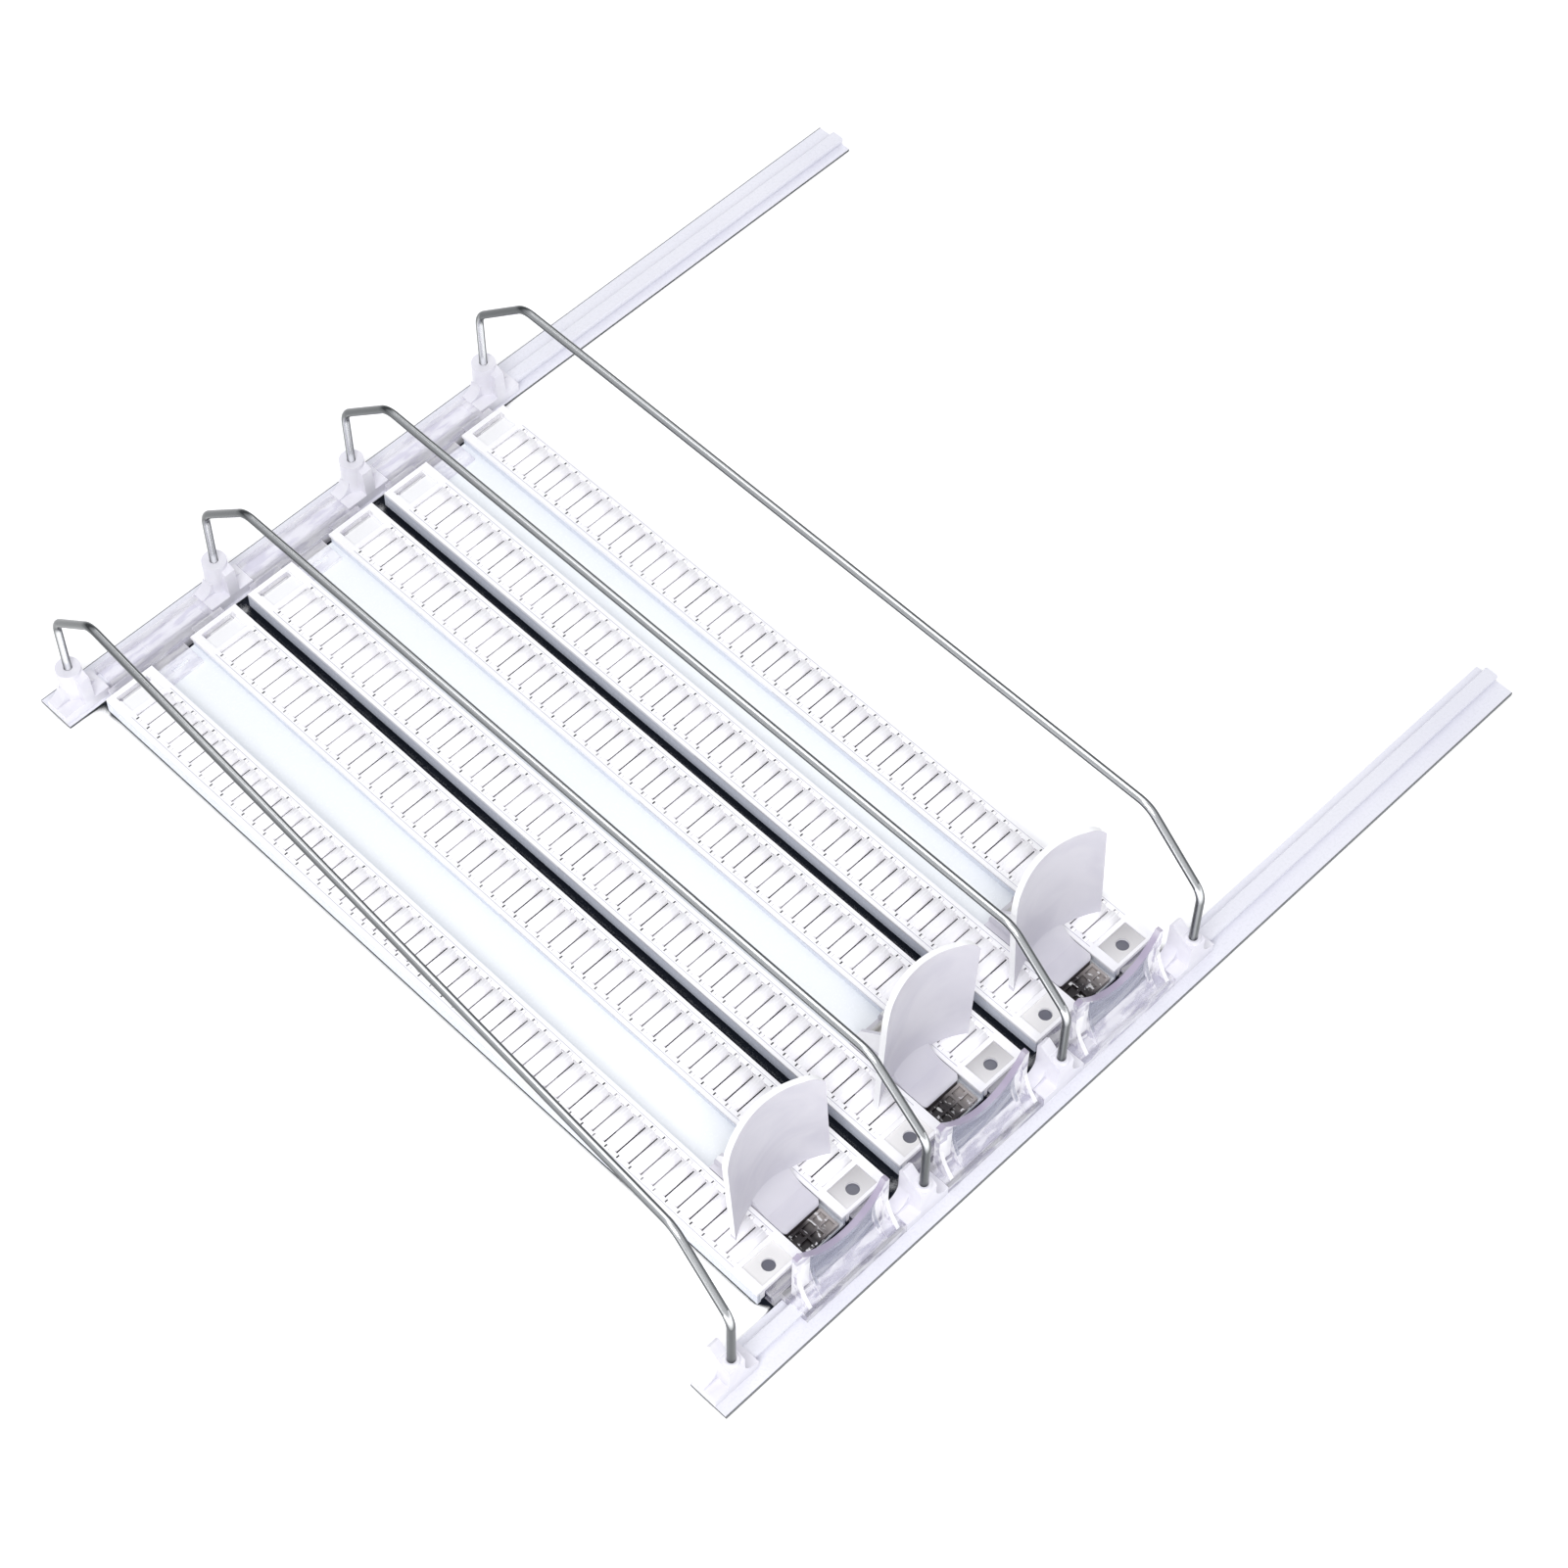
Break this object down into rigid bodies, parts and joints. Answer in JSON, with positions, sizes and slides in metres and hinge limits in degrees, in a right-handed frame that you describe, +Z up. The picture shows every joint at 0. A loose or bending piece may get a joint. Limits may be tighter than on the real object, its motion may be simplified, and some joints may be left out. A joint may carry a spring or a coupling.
{
  "type": "fridge can organizer",
  "caption": "Shelf organizer for drink cans: roller lanes with sprung pushers and clear front stops, between wire dividers, all clipped to cross rails.",
  "frame": {"origin": "the middle of the footprint, on the shelf that the rails lie on", "axes": "+X along the rails, to the right as seen from the front; +Y from the front to the rear; +Z up"},
  "size_m": [0.4628, 0.41, 0.0805],
  "materials": {
    "rail": "smooth moulded, white",
    "connector": "smooth moulded, white",
    "lane_base": "extruded, white, slightly cool",
    "roller_strip": "smooth moulded, white",
    "clear_moulding": "clear, slightly violet",
    "pusher": "translucent white, satin",
    "wire": "polished steel rod",
    "spring_steel": "rolled spring steel",
    "anchor": "dark moulded"
  },
  "bodies": {
    "rails": {"front_rail": "rail", "rear_rail": "rail"},
    "divider_1": {"divider_wire_1": "wire", "front_connector_1": "connector", "rear_connector_1": "connector"},
    "divider_2": {"divider_wire_2": "wire", "front_connector_2": "connector", "rear_connector_2": "connector"},
    "divider_3": {"divider_wire_3": "wire", "front_connector_3": "connector", "rear_connector_3": "connector"},
    "divider_4": {"divider_wire_4": "wire", "front_connector_4": "connector", "rear_connector_4": "connector"},
    "lane_1": {"lane_base_1": "lane_base", "left_roller_strip_1": "roller_strip", "right_roller_strip_1": "roller_strip", "front_stop_1": "clear_moulding", "rear_clip_1": "clear_moulding", "spring_band_1": "spring_steel", "band_anchor_1": "anchor"},
    "pusher_unit_1": {"pusher_1": "pusher", "spring_coil_1": "spring_steel"},
    "lane_2": {"lane_base_2": "lane_base", "left_roller_strip_2": "roller_strip", "right_roller_strip_2": "roller_strip", "front_stop_2": "clear_moulding", "rear_clip_2": "clear_moulding", "spring_band_2": "spring_steel", "band_anchor_2": "anchor"},
    "pusher_unit_2": {"pusher_2": "pusher", "spring_coil_2": "spring_steel"},
    "lane_3": {"lane_base_3": "lane_base", "left_roller_strip_3": "roller_strip", "right_roller_strip_3": "roller_strip", "front_stop_3": "clear_moulding", "rear_clip_3": "clear_moulding", "spring_band_3": "spring_steel", "band_anchor_3": "anchor"},
    "pusher_unit_3": {"pusher_3": "pusher", "spring_coil_3": "spring_steel"}
  },
  "joints": [
    {"name": "divider_1_spread", "type": "slide", "parent": "rails", "child": "divider_1", "axis": [1, 0, 0], "range_m": [0, 0.024]},
    {"name": "lane_1_spread", "type": "slide", "parent": "divider_1", "child": "lane_1", "axis": [1, 0, 0], "range_m": [0, 0.024]},
    {"name": "divider_2_spread", "type": "slide", "parent": "lane_1", "child": "divider_2", "axis": [1, 0, 0], "range_m": [0, 0.024]},
    {"name": "lane_2_spread", "type": "slide", "parent": "divider_2", "child": "lane_2", "axis": [1, 0, 0], "range_m": [0, 0.024]},
    {"name": "divider_3_spread", "type": "slide", "parent": "lane_2", "child": "divider_3", "axis": [1, 0, 0], "range_m": [0, 0.024]},
    {"name": "lane_3_spread", "type": "slide", "parent": "divider_3", "child": "lane_3", "axis": [1, 0, 0], "range_m": [0, 0.024]},
    {"name": "divider_4_spread", "type": "slide", "parent": "lane_3", "child": "divider_4", "axis": [1, 0, 0], "range_m": [0, 0.024]},
    {"name": "pusher_1_slide", "type": "slide", "parent": "lane_1", "child": "pusher_unit_1", "axis": [0, 1, 0], "range_m": [0, 0.3], "stiffness_N_per_m": 2, "springref_m": -0.8, "deforming": ["spring_band_1"]},
    {"name": "pusher_2_slide", "type": "slide", "parent": "lane_2", "child": "pusher_unit_2", "axis": [0, 1, 0], "range_m": [0, 0.3], "stiffness_N_per_m": 2, "springref_m": -0.8, "deforming": ["spring_band_2"]},
    {"name": "pusher_3_slide", "type": "slide", "parent": "lane_3", "child": "pusher_unit_3", "axis": [0, 1, 0], "range_m": [0, 0.3], "stiffness_N_per_m": 2, "springref_m": -0.8, "deforming": ["spring_band_3"]}
  ]
}
